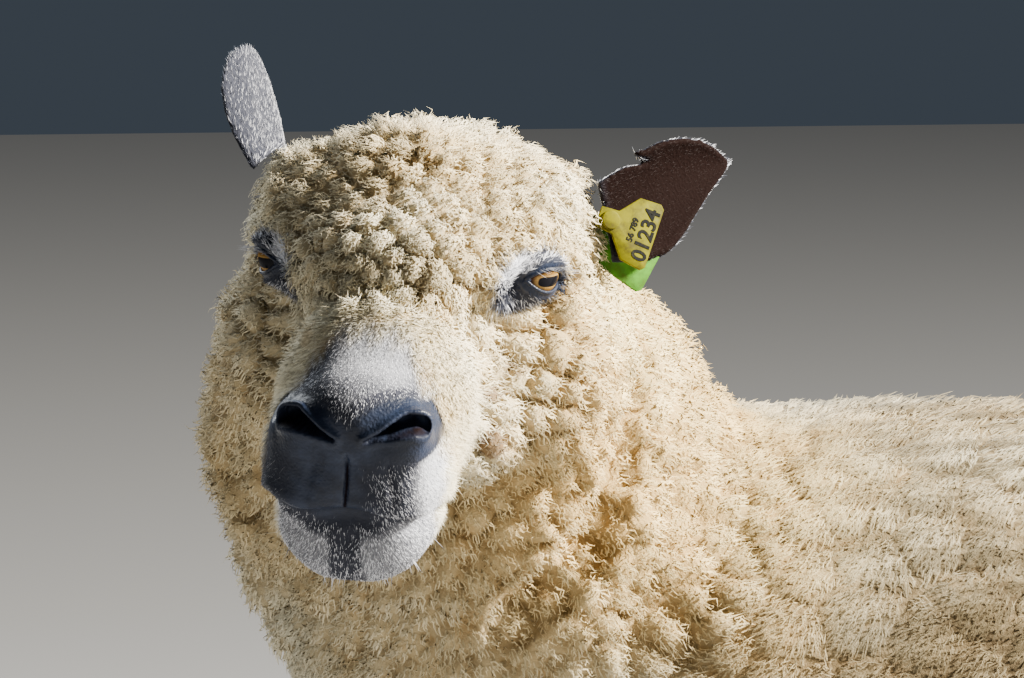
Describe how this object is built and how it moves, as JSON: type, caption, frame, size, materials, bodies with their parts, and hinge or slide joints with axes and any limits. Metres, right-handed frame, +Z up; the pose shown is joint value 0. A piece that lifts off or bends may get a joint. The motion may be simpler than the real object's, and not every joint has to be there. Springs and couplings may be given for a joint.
{
  "type": "life-size standing sheep model",
  "caption": "Life-size model of a standing down-breed sheep with a full cream fleece, dark bare muzzle, short ears with a flag tag in one, head turned over its left side.",
  "frame": {"origin": "on the floor, under the middle of the whole animal's bounding box", "axes": "+Z up; the body lies along X and faces -X, so -Y is the animal's left side; the head is turned about 66 degrees to its left"},
  "size_m": [1.0474, 0.5202, 0.8326],
  "materials": {
    "fleece": "matte curly wool",
    "short_hair": "short flat hair over skin",
    "ear_skin": "dark skin with short hair",
    "eye": "wet gloss",
    "hoof": "dull horn",
    "tag_plastic": "satin moulded plastic"
  },
  "bodies": {
    "root": {"dewclaw_fore_left_inner": "hoof", "dewclaw_fore_left_outer": "hoof", "dewclaw_fore_right_inner": "hoof", "dewclaw_fore_right_outer": "hoof", "dewclaw_hind_left_inner": "hoof", "dewclaw_hind_left_outer": "hoof", "dewclaw_hind_right_inner": "hoof", "dewclaw_hind_right_outer": "hoof", "ear_left": "ear_skin", "ear_right": "ear_skin", "eye_left": "eye", "eye_right": "eye", "head": "fleece", "hoof_fore_left_inner": "hoof", "hoof_fore_left_outer": "hoof", "hoof_fore_right_inner": "hoof", "hoof_fore_right_outer": "hoof", "hoof_hind_left_inner": "hoof", "hoof_hind_left_outer": "hoof", "hoof_hind_right_inner": "hoof", "hoof_hind_right_outer": "hoof", "leg_fore_left": "short_hair", "leg_fore_right": "short_hair", "leg_hind_left": "short_hair", "leg_hind_right": "short_hair", "neck": "fleece", "tag_back": "tag_plastic", "tag_front": "tag_plastic", "tail": "fleece", "trunk": "fleece"}
  },
  "joints": []
}
